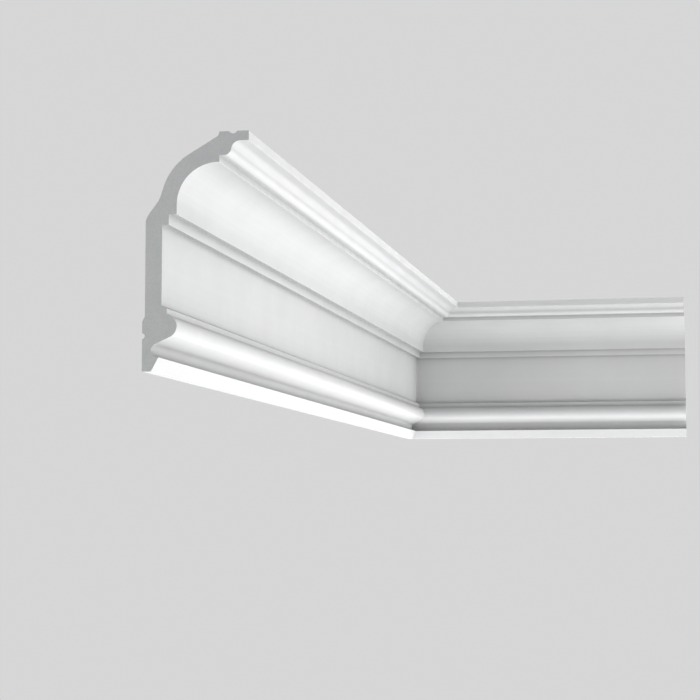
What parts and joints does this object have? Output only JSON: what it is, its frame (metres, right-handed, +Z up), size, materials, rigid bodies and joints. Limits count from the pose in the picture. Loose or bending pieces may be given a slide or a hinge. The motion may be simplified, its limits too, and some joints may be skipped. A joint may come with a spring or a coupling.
{
  "type": "mitred cornice moulding section",
  "caption": "Hollow-backed coved cornice with a frieze, bead and scotia, a long and a short length mitred into an inside corner, fixed between wall and ceiling.",
  "frame": {"origin": "on the flat land by which the long length is fixed to its wall, half way along it and midway between the toe and the glue groove", "axes": "+Z up to the ceiling; +X out of the wall behind the long length, and along the short length; +Y along the long length, towards the inside corner"},
  "size_m": [0.433, 1.4, 0.205],
  "materials": {
    "white_primer": "smooth matt white primer over rigid foam; the sawn ends are bare light grey foam with fine closed cells"
  },
  "bodies": {
    "root": {"long_length": "white_primer", "short_length": "white_primer"}
  },
  "joints": []
}
